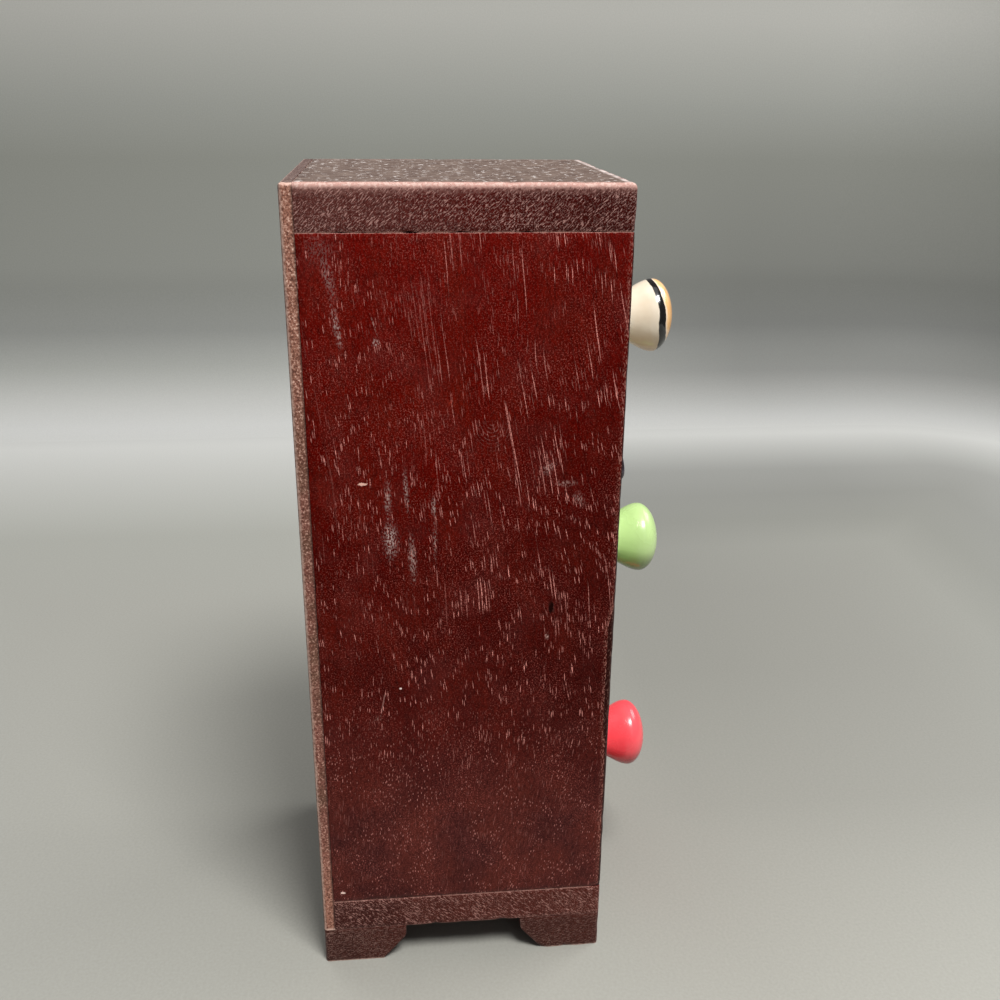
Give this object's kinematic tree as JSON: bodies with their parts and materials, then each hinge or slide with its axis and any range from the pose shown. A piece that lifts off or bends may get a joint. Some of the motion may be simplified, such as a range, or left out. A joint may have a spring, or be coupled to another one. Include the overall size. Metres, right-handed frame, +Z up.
{
  "type": "desktop mini drawers",
  "caption": "Tall narrow desktop chest of stained wood with stacked glazed ceramic drawers, each pulled out by a round waisted knob, on low block feet.",
  "frame": {"origin": "on the table, under the middle of the whole footprint: half way across the case, and half way from the knob tips to the back panel", "axes": "+Z up, drawer fronts and knobs towards -Y, back panel towards +Y, +X to the right of someone who faces the drawers"},
  "size_m": [0.099, 0.129, 0.284],
  "materials": {
    "stained_wood_top": "satin",
    "stained_wood_side": "satin",
    "stained_wood_bottom": "satin",
    "stained_wood_shelf": "satin",
    "stained_wood_foot": "satin",
    "back_board": "matte",
    "dowel_wood": "matte",
    "nail_steel": "satin",
    "plated_steel": "satin",
    "cream_glaze_drawer": "gloss",
    "cream_glaze_knob": "gloss",
    "lime_glaze_drawer": "gloss",
    "lime_glaze_knob": "gloss",
    "coral_glaze_drawer": "gloss",
    "coral_glaze_knob": "gloss"
  },
  "bodies": {
    "chest": {"top_board": "stained_wood_top", "bottom_board": "stained_wood_bottom", "left_side": "stained_wood_side", "right_side": "stained_wood_side", "upper_shelf": "stained_wood_shelf", "lower_shelf": "stained_wood_shelf", "back_panel": "back_board", "front_left_foot": "stained_wood_foot", "front_right_foot": "stained_wood_foot", "back_left_foot": "stained_wood_foot", "back_right_foot": "stained_wood_foot", "case_dowels": "dowel_wood", "back_panel_pins": "nail_steel", "foot_brads": "nail_steel"},
    "drawer_top": {"top_drawer": "cream_glaze_drawer", "top_knob": "cream_glaze_knob", "top_knob_stud": "plated_steel", "top_knob_washer": "plated_steel", "top_knob_nut": "plated_steel"},
    "drawer_middle": {"middle_drawer": "lime_glaze_drawer", "middle_knob": "lime_glaze_knob", "middle_knob_stud": "plated_steel", "middle_knob_washer": "plated_steel", "middle_knob_nut": "plated_steel"},
    "drawer_bottom": {"bottom_drawer": "coral_glaze_drawer", "bottom_knob": "coral_glaze_knob", "bottom_knob_stud": "plated_steel", "bottom_knob_washer": "plated_steel", "bottom_knob_nut": "plated_steel"}
  },
  "joints": [
    {"name": "top_slide", "type": "slide", "parent": "chest", "child": "drawer_top", "axis": [0, -1, 0], "range_m": [0, 0.1]},
    {"name": "middle_slide", "type": "slide", "parent": "chest", "child": "drawer_middle", "axis": [0, -1, 0], "range_m": [0, 0.1]},
    {"name": "bottom_slide", "type": "slide", "parent": "chest", "child": "drawer_bottom", "axis": [0, -1, 0], "range_m": [0, 0.1]}
  ]
}
